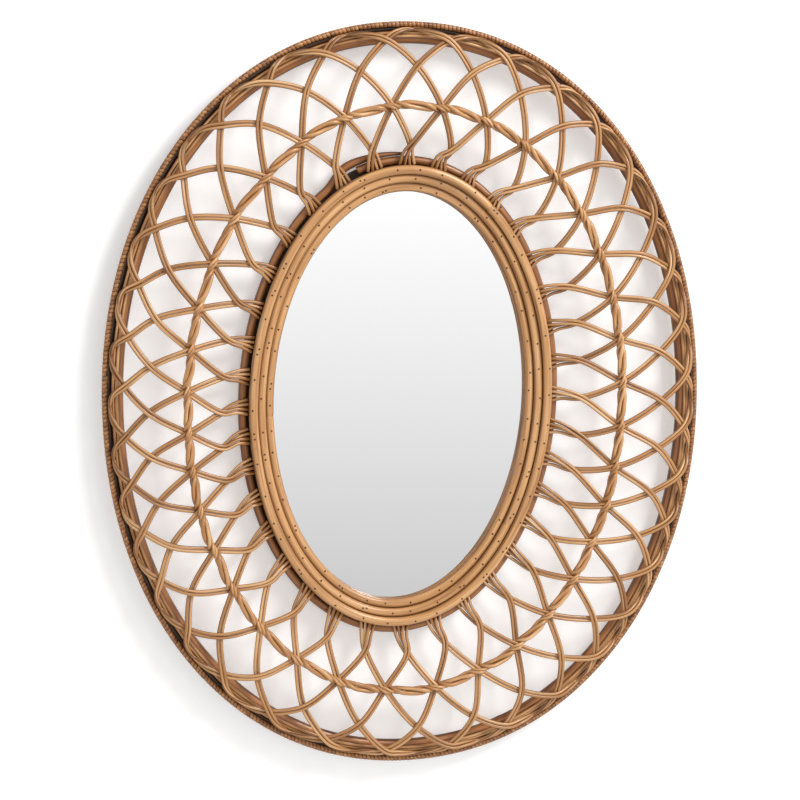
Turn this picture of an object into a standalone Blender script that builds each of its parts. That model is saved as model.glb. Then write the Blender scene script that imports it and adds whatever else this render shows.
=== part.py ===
"""Oval wall mirror in a woven rattan frame, seen from the front looking along +Y.

Three thick rods lie side by side round the glass. Thirty-six wide arches of paired thin cane
cross each other between those rods and a hoop rim, and a braid of two weavers ties them half way.
Metres, +Z up, +X to the right of someone who looks at the mirror. The wall is the plane y = 0 and
the mirror stands out from it towards -Y. The origin is where the hanger strip touches the wall.
"""

import math
from dataclasses import dataclass, replace

import bmesh
import bpy
from mathutils import Matrix, Vector

MM = 0.001


@dataclass(frozen=True)
class Oval:
    """A hoop's line in the plane of the wall, round its own centre."""

    half_width: float
    half_height: float
    squareness: float
    centre_x: float
    centre_z: float
    lean_deg: float

    def grown(self, by, wider=0.0):
        """The same oval with both half sizes longer by a length, and wider but lower by another."""
        return replace(self, half_width=self.half_width + by + wider,
                       half_height=self.half_height + by - wider)

    def moved(self, x, z):
        """The same oval with its centre moved."""
        return replace(self, centre_x=self.centre_x + x, centre_z=self.centre_z + z)

    def point(self, angle, out=0.0, beside=0.0):
        """The point at an angle from +X, moved out along the line's normal and on along the line."""
        bend = self.squareness
        lean = math.radians(self.lean_deg)
        across, up = math.cos(angle - lean), math.sin(angle - lean)
        x = math.copysign(abs(across) ** (2 / bend), across)
        z = math.copysign(abs(up) ** (2 / bend), up)
        normal = Vector((math.copysign(abs(x) ** (bend - 1), x) / self.half_width,
                         math.copysign(abs(z) ** (bend - 1), z) / self.half_height)).normalized()
        onward = Vector((-normal.y, normal.x))
        flat = Vector((x * self.half_width, z * self.half_height)) + normal * out + onward * beside
        flat = Matrix.Rotation(lean, 2) @ flat
        return flat + Vector((self.centre_x, self.centre_z))


# Overall hoop and opening: hand bent, so each leans a little its own way
OUTLINE = Oval(half_width=402 * MM, half_height=490 * MM, squareness=2.08,
               centre_x=0.0, centre_z=0.0, lean_deg=1.9)
OPENING = Oval(half_width=169.5 * MM, half_height=270.5 * MM, squareness=2.0,
               centre_x=-9 * MM, centre_z=1 * MM, lean_deg=-1.7)
HANGER_ABOVE_OPENING = 30 * MM

# Clearances
GAP = 0.3 * MM
CROSSING_GAP = 3.5 * MM
GROOVE_GAP = 0.6 * MM
PAIR_GAP = 1.6 * MM
BRAID_GAP = 2.6 * MM

# Glass, board and hanger
WALL_GAP = 4 * MM
BOARD_THICKNESS = 4 * MM
BOARD_PAST_ROD = 2 * MM
GLASS_THICKNESS = 3 * MM
GLASS_UNDER_ROD = 8 * MM
HANGER_WIDTH = 64 * MM
HANGER_HEIGHT = 13 * MM
HANGER_THICKNESS = 1.5 * MM
HANGER_FOOT = 8 * MM
HANGER_TOOTH = 4 * MM

# Rods round the glass
FRONT_ROD_RADIUS = 6.2 * MM
BACKING_ROD_RADIUS = 5.6 * MM
BACKING_FROM_OUTER_ROD = 12.4 * MM
SPLICE_START_DEG = 91.0
SPLICE_CROSSINGS = 1.5
SPLICE_BLEND_CROSSINGS = 0.2
SPLICE_TIP_RADIUS = 2.2 * MM

# Arches of paired cane
ARCH_COUNT = 36
ARCH_SPAN = 5
CANE_THICKNESS = 4 * MM
PARTING_FROM_OPENING = 51 * MM
PARTING_LIFT = 0.3 * MM
FOOT_FROM_OPENING = 69 * MM
FOOT_WIDER = 3.5 * MM
FOOT_DEPTH = 30 * MM
FOOT_SHIFT_X = 4 * MM
FOOT_SHIFT_Z = -5 * MM
BRAID_SHARE = 0.37
BRAID_DEPTH = 41 * MM
MIDDLE_SHARE = 0.757
MIDDLE_DEPTH = 45 * MM
NEAR_RIM_INSET = 23 * MM
NEAR_RIM_NARROWER = 2.3 * MM
NEAR_RIM_DEPTH = 42 * MM
NEAR_RIM_SHIFT_X = 3 * MM
NEAR_RIM_SHIFT_Z = -2.5 * MM
NEAR_RIM_LEAN_DEG = 1.3
LATTICE_SQUARENESS = 2.06
APEX_LIFT = 3 * MM
SHOULDER_LIFT = 14 * MM
SHOULDER_INSET = 4.5 * MM
SHOULDER_FROM_MIDDLE = 0.18
FIRST_CROSSING_DEG = 95.7
SIDE_SPREAD_DEG = -6.6
DRIFT_DEG = 1.07
DRIFT_PHASE_DEG = -37.0
BRAID_SLIP_DEG = 0.48
BRAID_SLIP_PHASE_DEG = 24.0

# Braid of two weavers
WEAVER_WIDTH = 7 * MM
WEAVER_THICKNESS = 3.6 * MM

# Rim
HOOP_RADIUS = 4 * MM
HOOP_DEPTH = 28 * MM
POLE_RADIUS = 7 * MM
RIM_ROD_RADIUS = 2.2 * MM
RIM_ROD_LEAN_DEG = 48.0
BACK_ROD_RADIUS = 4.3 * MM
BACK_ROD_LEAN_DEG = 10.0

# Facets
ROD_STEPS = 40
HOOP_STEPS = 60
RIM_STEPS = 30
WEAVER_STEPS_PER_CROSSING = 3

# What follows from the sizes above
CENTRE_Z = -(OPENING.half_height + HANGER_ABOVE_OPENING)
PAIR_WIDTH = 2 * CANE_THICKNESS
BOARD_FRONT = WALL_GAP + BOARD_THICKNESS
GLASS_BACK = BOARD_FRONT + GAP
GLASS_FRONT = GLASS_BACK + GLASS_THICKNESS
BACKING_DEPTH = BOARD_FRONT + GAP + BACKING_ROD_RADIUS
SEAT_DEPTH = BACKING_DEPTH + BACKING_ROD_RADIUS + GAP + CANE_THICKNESS / 2
INNER_ROD_DEPTH = GLASS_FRONT + GAP + FRONT_ROD_RADIUS
OUTER_ROD_DEPTH = SEAT_DEPTH + CANE_THICKNESS / 2 + GAP + FRONT_ROD_RADIUS
ROD_RISE = (OUTER_ROD_DEPTH - INNER_ROD_DEPTH) / 2
ROD_STEP = math.sqrt((2 * FRONT_ROD_RADIUS + GAP) ** 2 - ROD_RISE ** 2)
OUTER_ROD_OUT = FRONT_ROD_RADIUS + 2 * ROD_STEP
BACKING_OUT = OUTER_ROD_OUT + BACKING_FROM_OUTER_ROD
POLE_TO_ROD = POLE_RADIUS + GAP + RIM_ROD_RADIUS
RIM_ROD_IN = 2 * HOOP_RADIUS + 2 * GROOVE_GAP + CANE_THICKNESS + RIM_ROD_RADIUS
RIM_ROD_LEAN = math.radians(RIM_ROD_LEAN_DEG)
RIM_ROD_TURN = 2 * math.asin((2 * RIM_ROD_RADIUS + GAP) / (2 * POLE_TO_ROD))
POLE_IN = RIM_ROD_IN + POLE_TO_ROD * math.cos(RIM_ROD_LEAN)
POLE_DEPTH = HOOP_DEPTH - POLE_TO_ROD * math.sin(RIM_ROD_LEAN)
POLE_TO_BACK_ROD = POLE_RADIUS + GAP + BACK_ROD_RADIUS
BACK_ROD_IN = POLE_IN - POLE_TO_BACK_ROD * math.cos(math.radians(BACK_ROD_LEAN_DEG))
BACK_ROD_DEPTH = POLE_DEPTH - POLE_TO_BACK_ROD * math.sin(math.radians(BACK_ROD_LEAN_DEG))
CROSSING_STEP = CANE_THICKNESS / 2 + CROSSING_GAP / 2
APEX_IN = 2 * HOOP_RADIUS + GROOVE_GAP + CANE_THICKNESS / 2


def clear_scene():
    """Remove what the file opened with."""
    for thing in list(bpy.data.objects):
        bpy.data.objects.remove(thing, do_unlink=True)


def finish(name, colour, roughness, metallic=0.0):
    """A plain material for one kind of piece."""
    material = bpy.data.materials.new(name)
    material.use_nodes = True
    shader = material.node_tree.nodes["Principled BSDF"]
    shader.inputs["Base Color"].default_value = (*colour, 1.0)
    shader.inputs["Roughness"].default_value = roughness
    shader.inputs["Metallic"].default_value = metallic
    return material


def add_object(name, mesh_builder, material, smooth_deg=None):
    """Close a bmesh into one named object."""
    bmesh.ops.recalc_face_normals(mesh_builder, faces=mesh_builder.faces)
    mesh = bpy.data.meshes.new(name)
    mesh_builder.to_mesh(mesh)
    mesh_builder.free()
    mesh.materials.append(material)
    if smooth_deg is not None:
        mesh.shade_smooth()
        mesh.set_sharp_from_angle(angle=math.radians(smooth_deg))
    thing = bpy.data.objects.new(name, mesh)
    bpy.context.collection.objects.link(thing)
    return thing


def in_space(flat, depth):
    """A point of the wall plane, out from the wall by a depth."""
    return Vector((flat.x, -depth, flat.y + CENTRE_Z))


def round_section(radius, sides):
    """Corners of a round section, across and through the piece, the first one pointing outwards."""
    turns = [math.pi + 2 * math.pi * side / sides for side in range(sides)]
    return [Vector((math.cos(turn), math.sin(turn))) * radius for turn in turns]


def flat_section(width, thickness, turn=0.0):
    """Corners of a flat section, turned about the path by an angle."""
    corners = [(-1, -1), (1, -1), (1, 1), (-1, 1)]
    spin = Matrix.Rotation(turn, 2)
    return [spin @ Vector((x * width / 2, y * thickness / 2)) for x, y in corners]


def sweep(path, sections, closed):
    """A tube of sections along a path, with a ring of corners at each point."""
    builder = bmesh.new()
    rings = []
    last = len(path) - 1
    for index, (place, section) in enumerate(zip(path, sections)):
        before = path[index - 1] if closed or index > 0 else place
        after = path[(index + 1) % len(path)] if closed or index < last else place
        along = (after - before).normalized()
        across = along.cross(Vector((0, 1, 0))).normalized()
        through = across.cross(along).normalized()
        rings.append([builder.verts.new(place + across * corner.x + through * corner.y)
                      for corner in section])
    joins = list(zip(rings, rings[1:]))
    if closed:
        joins.append((rings[-1], rings[0]))
    for ring, following in joins:
        for side in range(len(ring)):
            other = (side + 1) % len(ring)
            builder.faces.new((ring[side], ring[other], following[other], following[side]))
    if not closed:
        builder.faces.new(rings[0])
        builder.faces.new(rings[-1])
    return builder


def hoop(name, oval, out, depth, radius, steps, sides, material):
    """A closed round rod that follows an oval at a distance out from it."""
    path = [in_space(oval.point(2 * math.pi * step / steps, out), depth) for step in range(steps)]
    builder = sweep(path, [round_section(radius, sides)] * steps, closed=True)
    return add_object(name, builder, material, smooth_deg=70)


def oval_plate(name, out, back, front, material):
    """A flat plate of the opening's shape, larger than it by a distance out."""
    builder = bmesh.new()
    turns = [2 * math.pi * step / ROD_STEPS for step in range(ROD_STEPS)]
    rim = [builder.verts.new(in_space(OPENING.point(turn, out), back)) for turn in turns]
    base = builder.faces.new(rim)
    raised = bmesh.ops.extrude_face_region(builder, geom=[base], use_keep_orig=True)
    lifted = [item for item in raised["geom"] if isinstance(item, bmesh.types.BMVert)]
    bmesh.ops.translate(builder, verts=lifted, vec=Vector((0, back - front, 0)))
    return add_object(name, builder, material)


def hanger_strip(material):
    """A toothed strip on two feet. Its back is the plane y = 0 and its middle the origin."""
    builder = bmesh.new()
    half = HANGER_WIDTH / 2
    inner = half - HANGER_FOOT
    top = HANGER_HEIGHT / 2
    teeth = max(2, round(2 * inner / (2 * HANGER_TOOTH)))
    tooth = 2 * inner / teeth

    def corner(x, z):
        return builder.verts.new((x, 0.0, z))

    low = [corner(-inner, -top)]
    for number in range(teeth):
        start = -inner + number * tooth
        low.append(corner(start + tooth / 2, -top + HANGER_TOOTH / 2))
        low.append(corner(start + tooth, -top))
    high_left, high_right = corner(-inner, top), corner(inner, top)
    left = builder.faces.new((corner(-half, -top), low[0], high_left, corner(-half, top)))
    right = builder.faces.new((low[-1], corner(half, -top), corner(half, top), high_right))
    middle = builder.faces.new(low + [high_right, high_left])
    raised = bmesh.ops.extrude_face_region(builder, geom=[left, middle, right], use_keep_orig=True)
    lifted = [item for item in raised["geom"] if isinstance(item, bmesh.types.BMVert)]
    bmesh.ops.translate(builder, verts=lifted, vec=Vector((0, -HANGER_THICKNESS, 0)))
    ends = [item for item in raised["geom"] if isinstance(item, bmesh.types.BMFace)
            and abs(item.calc_center_median().x) > inner]
    feet = bmesh.ops.extrude_face_region(builder, geom=ends)
    bmesh.ops.delete(builder, geom=ends, context="FACES_ONLY")
    lifted = [item for item in feet["geom"] if isinstance(item, bmesh.types.BMVert)]
    reach = WALL_GAP - GAP - HANGER_THICKNESS
    bmesh.ops.translate(builder, verts=lifted, vec=Vector((0, -reach, 0)))
    return add_object("hanger_strip", builder, material)


def backing_rod(material):
    """The rod behind the arch feet, one length whose ends lie side by side at the upper left."""
    turn_per_crossing = 2 * math.pi / ARCH_COUNT
    start = math.radians(SPLICE_START_DEG)
    length = ARCH_COUNT + SPLICE_CROSSINGS
    count = round(ROD_STEPS * length / ARCH_COUNT) + 2
    path, sections = [], []
    for number in range(count):
        along = length * number / (count - 1)
        beside = 1.0 - min(1.0, max(0.0, along - SPLICE_CROSSINGS - SPLICE_BLEND_CROSSINGS))
        taper = min(1.0, along / SPLICE_CROSSINGS)
        radius = SPLICE_TIP_RADIUS + (BACKING_ROD_RADIUS - SPLICE_TIP_RADIUS) * taper
        out = BACKING_OUT + beside * (BACKING_ROD_RADIUS + GAP + radius + GAP)
        path.append(in_space(OPENING.point(start + along * turn_per_crossing, out), BACKING_DEPTH))
        sections.append(round_section(radius, 5))
    return add_object("backing_rod", sweep(path, sections, closed=False), material, smooth_deg=80)


def crossing_angle(count, slip_deg=0.0):
    """Angle of a crossing, counted from the top towards the left, on a ring that has slipped."""
    even = math.radians(FIRST_CROSSING_DEG) + 2 * math.pi * count / ARCH_COUNT
    spread = math.radians(SIDE_SPREAD_DEG) * math.sin(2 * even)
    drift = math.radians(DRIFT_DEG) * math.sin(3 * even + math.radians(DRIFT_PHASE_DEG))
    slip = math.radians(slip_deg) * (1 + math.cos(even - math.radians(BRAID_SLIP_PHASE_DEG)))
    return even + spread + drift - slip


def lattice_oval(share):
    """The ring a share of the way from the foot crossings to the near rim crossings."""
    foot = OPENING.grown(FOOT_FROM_OPENING, FOOT_WIDER).moved(FOOT_SHIFT_X, FOOT_SHIFT_Z)
    near = OUTLINE.grown(-NEAR_RIM_INSET, -NEAR_RIM_NARROWER).moved(NEAR_RIM_SHIFT_X, NEAR_RIM_SHIFT_Z)

    def between(low, high):
        return low + (high - low) * share

    return Oval(between(foot.half_width, near.half_width), between(foot.half_height, near.half_height),
                LATTICE_SQUARENESS, between(foot.centre_x, near.centre_x),
                between(foot.centre_z, near.centre_z), between(foot.lean_deg, NEAR_RIM_LEAN_DEG))


@dataclass(frozen=True)
class Stop:
    """One corner of an arch: how many crossings from its middle, where, and how it lies."""

    from_middle: float
    oval: Oval
    out: float
    depth: float
    step: int
    slip_deg: float = 0.0
    turn_deg: float = 0.0
    beside: float = 0.0


def arch_side():
    """The stops of half an arch, from its end under the outer front rod to its shoulder."""
    foot = (ARCH_SPAN - 1) / 2
    under_rod = OPENING.grown(OUTER_ROD_OUT + CANE_THICKNESS / 2)
    parting = OPENING.grown(PARTING_FROM_OPENING)
    beside = (PAIR_WIDTH + PAIR_GAP) / 2
    stops = [
        Stop(foot, under_rod, 0.0, SEAT_DEPTH, 0, beside=beside),
        Stop(foot, parting, 0.0, SEAT_DEPTH + CROSSING_STEP + PARTING_LIFT, -1, beside=beside),
    ]
    crossings = ((0.0, FOOT_DEPTH, 0.0), (BRAID_SHARE, BRAID_DEPTH, BRAID_SLIP_DEG),
                 (MIDDLE_SHARE, MIDDLE_DEPTH, 0.0), (1.0, NEAR_RIM_DEPTH, 0.0))
    for number, (share, depth, slip_deg) in enumerate(crossings):
        over_or_under = 1 if number % 2 else -1
        stops.append(Stop(foot - number / 2, lattice_oval(share), 0.0, depth, over_or_under, slip_deg))
    stops.append(Stop(SHOULDER_FROM_MIDDLE, OUTLINE, -(APEX_IN + SHOULDER_INSET),
                      HOOP_DEPTH + SHOULDER_LIFT, 0, turn_deg=45.0))
    return stops


def cane_arch(number, material):
    """One arch of paired cane. It starts under its neighbours and ends over them."""
    middle = number + ARCH_SPAN / 2
    side = arch_side()
    apex = Stop(0.0, OUTLINE, -APEX_IN, HOOP_DEPTH + APEX_LIFT, 0, turn_deg=90.0)
    stops = [replace(stop, from_middle=-stop.from_middle, beside=-stop.beside) for stop in side] + [apex]
    stops += [replace(stop, step=-stop.step, turn_deg=180.0 - stop.turn_deg) for stop in reversed(side)]
    path, sections = [], []
    for stop in stops:
        angle = crossing_angle(middle + stop.from_middle, stop.slip_deg)
        flat = stop.oval.point(angle, stop.out, stop.beside)
        path.append(in_space(flat, stop.depth + stop.step * CROSSING_STEP))
        sections.append(flat_section(PAIR_WIDTH, CANE_THICKNESS, math.radians(stop.turn_deg)))
    return add_object(f"cane_arch_{number + 1:02d}", sweep(path, sections, closed=False), material)


def weaver(name, half_turns, material):
    """A flat strand that winds round the ring of crossings, in front of one and behind the next."""
    oval = lattice_oval(BRAID_SHARE)
    stack = CROSSING_STEP + CANE_THICKNESS / 2
    lift = stack + BRAID_GAP + WEAVER_THICKNESS / 2
    wander = (WEAVER_WIDTH / 2 + GAP) / math.sin(math.pi / WEAVER_STEPS_PER_CROSSING)
    slope = (MIDDLE_DEPTH - FOOT_DEPTH) / (lattice_oval(MIDDLE_SHARE).half_width - lattice_oval(0).half_width)
    path = []
    for number in range(ARCH_COUNT * WEAVER_STEPS_PER_CROSSING):
        along = number / WEAVER_STEPS_PER_CROSSING
        wind = math.pi * (along + half_turns)
        out = wander * math.sin(wind)
        flat = oval.point(crossing_angle(along, BRAID_SLIP_DEG), out)
        path.append(in_space(flat, BRAID_DEPTH + lift * math.cos(wind) + slope * out))
    sections = [flat_section(WEAVER_WIDTH, WEAVER_THICKNESS, math.atan(slope))] * len(path)
    return add_object(name, sweep(path, sections, closed=True), material)


def frame_rods(pale, brown):
    """The three front rods, stepping out and up from the glass, and the rod behind the feet."""
    for place, name in enumerate(("front_rod_inner", "front_rod_middle", "front_rod_outer")):
        hoop(name, OPENING, FRONT_ROD_RADIUS + place * ROD_STEP, INNER_ROD_DEPTH + place * ROD_RISE,
             FRONT_ROD_RADIUS, ROD_STEPS, 6, pale)
    backing_rod(brown)


def rim(pale, brown):
    """The wrapped hoop outside, the pole with two thin rods on its front, and a rod between them."""
    hoop("wrapped_hoop", OUTLINE, -HOOP_RADIUS, HOOP_DEPTH, HOOP_RADIUS, HOOP_STEPS, 5, brown)
    hoop("rim_pole", OUTLINE, -POLE_IN, POLE_DEPTH, POLE_RADIUS, RIM_STEPS, 6, brown)
    hoop("rim_back_rod", OUTLINE, -BACK_ROD_IN, BACK_ROD_DEPTH, BACK_ROD_RADIUS, RIM_STEPS, 5, brown)
    for turn, name in enumerate(("rim_rod_outer", "rim_rod_inner")):
        lean = RIM_ROD_LEAN + turn * RIM_ROD_TURN
        inset = POLE_IN - POLE_TO_ROD * math.cos(lean)
        depth = POLE_DEPTH + POLE_TO_ROD * math.sin(lean)
        hoop(name, OUTLINE, -inset, depth, RIM_ROD_RADIUS, RIM_STEPS, 4, pale)


def main():
    """Build every piece of the mirror."""
    clear_scene()
    pale = finish("pale_rattan", (0.62, 0.40, 0.20), 0.42)
    brown = finish("brown_rattan", (0.38, 0.19, 0.07), 0.45)
    cane = finish("cane", (0.55, 0.32, 0.14), 0.40)
    silver = finish("silvered_glass", (0.90, 0.92, 0.93), 0.02, metallic=1.0)
    board = finish("board", (0.45, 0.34, 0.22), 0.75)
    steel = finish("steel", (0.55, 0.55, 0.56), 0.35, metallic=1.0)

    hanger_strip(steel)
    oval_plate("back_board", BACKING_OUT + BOARD_PAST_ROD, WALL_GAP, BOARD_FRONT, board)
    oval_plate("mirror_glass", GLASS_UNDER_ROD, GLASS_BACK, GLASS_FRONT, silver)
    frame_rods(pale, brown)
    for number in range(ARCH_COUNT):
        cane_arch(number, cane)
    weaver("weaver_a", 0, cane)
    weaver("weaver_b", 1, cane)
    rim(pale, brown)


main()
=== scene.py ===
"""Looks of an oval wall mirror in a woven rattan frame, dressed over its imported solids.

Every piece is made lying on a bench, with x to the right, y up the mirror and z out from the
wall, is laid along its own route there, and is then stood up against the wall plane y = 0.
"""

from __future__ import annotations

import logging
import math
import random
from contextlib import contextmanager
from dataclasses import astuple, dataclass, field, replace
from enum import Enum
from typing import Callable, Iterator, Sequence

import bmesh
import bpy
from mathutils import Matrix, Quaternion, Vector, noise

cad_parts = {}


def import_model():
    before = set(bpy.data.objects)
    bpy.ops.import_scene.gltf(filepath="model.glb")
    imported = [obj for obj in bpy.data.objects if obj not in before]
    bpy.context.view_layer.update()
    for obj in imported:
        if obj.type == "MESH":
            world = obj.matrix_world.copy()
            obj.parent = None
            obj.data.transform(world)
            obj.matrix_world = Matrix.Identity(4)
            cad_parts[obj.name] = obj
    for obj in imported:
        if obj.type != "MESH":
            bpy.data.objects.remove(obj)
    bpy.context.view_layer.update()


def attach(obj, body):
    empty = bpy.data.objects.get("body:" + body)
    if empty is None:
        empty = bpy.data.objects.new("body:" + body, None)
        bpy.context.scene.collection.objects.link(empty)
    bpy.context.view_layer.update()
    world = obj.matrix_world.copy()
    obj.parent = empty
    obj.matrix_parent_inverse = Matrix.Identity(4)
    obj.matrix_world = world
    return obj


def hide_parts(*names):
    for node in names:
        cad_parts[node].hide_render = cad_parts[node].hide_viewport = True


MM = 0.001
FULL_TURN = 2 * math.pi
HAND_SEED = 7
LOG = logging.getLogger("wall_mirror")

Colour = tuple[float, float, float]


class Finish(Enum):
    """The mirror's finishes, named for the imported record's slots but for the last three."""

    PALE = "pale_rattan"
    BROWN = "brown_rattan"
    CANE = "cane"
    WRAPPING = "wrapping_cane"
    MIRROR = "mirror"
    BOARD = "board"
    STEEL = "steel"
    SHADED = "shaded_rattan"
    BRAIDED = "braided_cane"
    PIN_HEAD = "pin_head"

    @property
    def slot(self) -> str:
        """Name of the record's slot that the finish stands for."""
        own = {Finish.SHADED: Finish.BROWN, Finish.BRAIDED: Finish.CANE, Finish.PIN_HEAD: Finish.STEEL}
        return own.get(self, self).value


@dataclass(frozen=True)
class Oval:
    """A hoop's line in the plane of the wall, round its own centre.

    Args:
        half_width: Half size across.
        half_height: Half size up.
        squareness: Power of the oval, 2 for an ellipse and more for fuller corners.
        centre_x: Centre across.
        centre_y: Centre up.
        lean_deg: How far the hoop leans anticlockwise.
    """

    half_width: float
    half_height: float
    squareness: float
    centre_x: float
    centre_y: float
    lean_deg: float

    def grown(self, by: float, wider: float = 0.0) -> Oval:
        """Return the same oval with both half sizes longer, and wider but lower by another length."""
        return replace(self, half_width=self.half_width + by + wider,
                       half_height=self.half_height + by - wider)

    def moved(self, shift: tuple[float, float]) -> Oval:
        """Return the same oval with its centre moved across and up."""
        return replace(self, centre_x=self.centre_x + shift[0], centre_y=self.centre_y + shift[1])

    def point(self, angle: float, out: float = 0.0, beside: float = 0.0) -> Vector:
        """Find a point of the oval.

        Args:
            angle: Angle from the right, in radians.
            out: Distance out from the line along its normal.
            beside: Distance on along the line.

        Returns:
            The point on the bench, flat.
        """
        bend = self.squareness
        lean = math.radians(self.lean_deg)
        across, up = math.cos(angle - lean), math.sin(angle - lean)
        x = math.copysign(abs(across) ** (2 / bend), across)
        y = math.copysign(abs(up) ** (2 / bend), up)
        normal = Vector((math.copysign(abs(x) ** (bend - 1), x) / self.half_width,
                         math.copysign(abs(y) ** (bend - 1), y) / self.half_height)).normalized()
        onward = Vector((-normal.y, normal.x))
        flat = Vector((x * self.half_width, y * self.half_height)) + normal * out + onward * beside
        flat = Matrix.Rotation(lean, 2) @ flat
        return flat + Vector((self.centre_x, self.centre_y))


@dataclass(frozen=True)
class Sizes:
    """Driving sizes of the mirror, the same as the solids', and what follows from them."""

    outline: Oval = Oval(402 * MM, 490 * MM, 2.08, 0.0, 0.0, 1.9)
    opening: Oval = Oval(169.5 * MM, 270.5 * MM, 2.0, -9 * MM, 1 * MM, -1.7)
    hanger_above_opening: float = 30 * MM
    gap: float = 0.3 * MM
    glass_back: float = 8.3 * MM
    glass_thickness: float = 3 * MM
    front_rod_radius: float = 6.2 * MM
    backing_rod_radius: float = 5.6 * MM
    backing_from_outer_rod: float = 12.4 * MM
    cane_thickness: float = 4 * MM
    arch_count: int = 36
    hoop_radius: float = 4 * MM
    hoop_depth: float = 28 * MM
    pole_radius: float = 7 * MM
    rim_rod_radius: float = 2.2 * MM

    @property
    def centre_z(self) -> float:
        """Height of the outline's centre over the origin."""
        return -(self.opening.half_height + self.hanger_above_opening)

    @property
    def glass_front(self) -> float:
        """Depth of the glass's face."""
        return self.glass_back + self.glass_thickness

    @property
    def backing_depth(self) -> float:
        """Depth of the backing rod's middle."""
        return self.glass_back + self.backing_rod_radius

    @property
    def seat_depth(self) -> float:
        """Depth of a cane that lies over the backing rod."""
        return self.backing_depth + self.backing_rod_radius + self.cane_thickness / 2

    @property
    def inner_rod_depth(self) -> float:
        """Depth of the innermost front rod's middle."""
        return self.glass_front + self.gap + self.front_rod_radius

    @property
    def rod_rise(self) -> float:
        """How much further out from the wall each front rod lies than the last."""
        outer = self.seat_depth + self.cane_thickness / 2 + 2 * self.gap + self.front_rod_radius
        return (outer - self.inner_rod_depth) / 2

    @property
    def rod_step(self) -> float:
        """How much further from the opening each front rod lies than the last."""
        return math.sqrt((2 * self.front_rod_radius + self.gap) ** 2 - self.rod_rise ** 2)

    @property
    def backing_out(self) -> float:
        """Distance of the backing rod's middle from the opening."""
        return self.front_rod_radius + 2 * self.rod_step + self.backing_from_outer_rod


SIZES = Sizes()


@dataclass
class Route:
    """A line on the bench that a straight piece is laid along.

    Args:
        points: The route's points, with z as depth out from the wall.
        tilts: Turn of the piece about the route at each point, in radians.
        closed: Whether the route comes back to its start.
    """

    points: Sequence[Vector]
    tilts: Sequence[float] | None = None
    closed: bool = False

    def guide(self) -> bpy.types.Object:
        """Draw the route as a curve that stretches what is laid along it.

        Returns:
            The curve's object.
        """
        curve = bpy.data.curves.new("guide", "CURVE")
        curve.dimensions = "3D"
        curve.twist_mode = "Z_UP"
        curve.use_stretch = curve.use_deform_bounds = True
        spline = curve.splines.new("POLY")
        spline.points.add(len(self.points) - 1)
        for end, place in zip(spline.points, self.points):
            end.co = (*place, 1.0)
        for end, tilt in zip(spline.points, self.tilts or ()):
            end.tilt = tilt
        spline.use_cyclic_u = self.closed
        line = bpy.data.objects.new("guide", curve)
        bpy.context.collection.objects.link(line)
        return line

    def eased(self, steps: int) -> Route:
        """Round an open route off between the points that it must pass.

        Args:
            steps: How many points are made for each one given.

        Returns:
            The rounded route.
        """
        ends = [Vector((*place, tilt)) for place, tilt in zip(self.points, self.tilts)]
        ends = [2 * ends[0] - ends[1], *ends, 2 * ends[-1] - ends[-2]]
        fine = [self.between(four, step / steps)
                for four in zip(ends, ends[1:], ends[2:], ends[3:]) for step in range(steps)]
        fine.append(ends[-2])
        return Route([place.xyz for place in fine], [place.w for place in fine])

    @staticmethod
    def between(four: Sequence[Vector], share: float) -> Vector:
        """Find a place between the middle two of four points, on a curve that never overshoots.

        Args:
            four: The points, each with its tilt.
            share: Share of the way from the second to the third.

        Returns:
            The place and its tilt.
        """
        knots = [0.0]
        for low, high in zip(four, four[1:]):
            knots.append(knots[-1] + (high.xyz - low.xyz).length ** 0.5)
        now = knots[1] + (knots[2] - knots[1]) * share
        blends = four
        for stretches in (((0, 1), (1, 2), (2, 3)), ((0, 2), (1, 3)), ((1, 2),)):
            blends = [low.lerp(high, (now - knots[start]) / (knots[end] - knots[start]))
                      for low, high, (start, end) in zip(blends, blends[1:], stretches)]
        return blends[0]

    def length(self) -> float:
        """Measure the route straight from point to point."""
        following = list(self.points[1:]) + ([self.points[0]] if self.closed else [])
        return sum((b - a).length for a, b in zip(self.points, following))

    def lay(self, piece: bpy.types.Object) -> None:
        """Bend a straight piece along the route, and join its ends if the route is closed.

        Args:
            piece: A mesh object that lies along +X.
        """
        line = self.guide()
        Bench.pick(piece)
        bend = piece.modifiers.new("bend", "CURVE")
        bend.object = line
        bend.deform_axis = "POS_X"
        bpy.ops.object.modifier_apply(modifier=bend.name)
        bpy.data.curves.remove(line.data)
        if self.closed:
            with Bench.editing(piece):
                bpy.ops.mesh.remove_doubles(threshold=0.03 * MM)
            Bench.face_out(piece)


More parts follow.
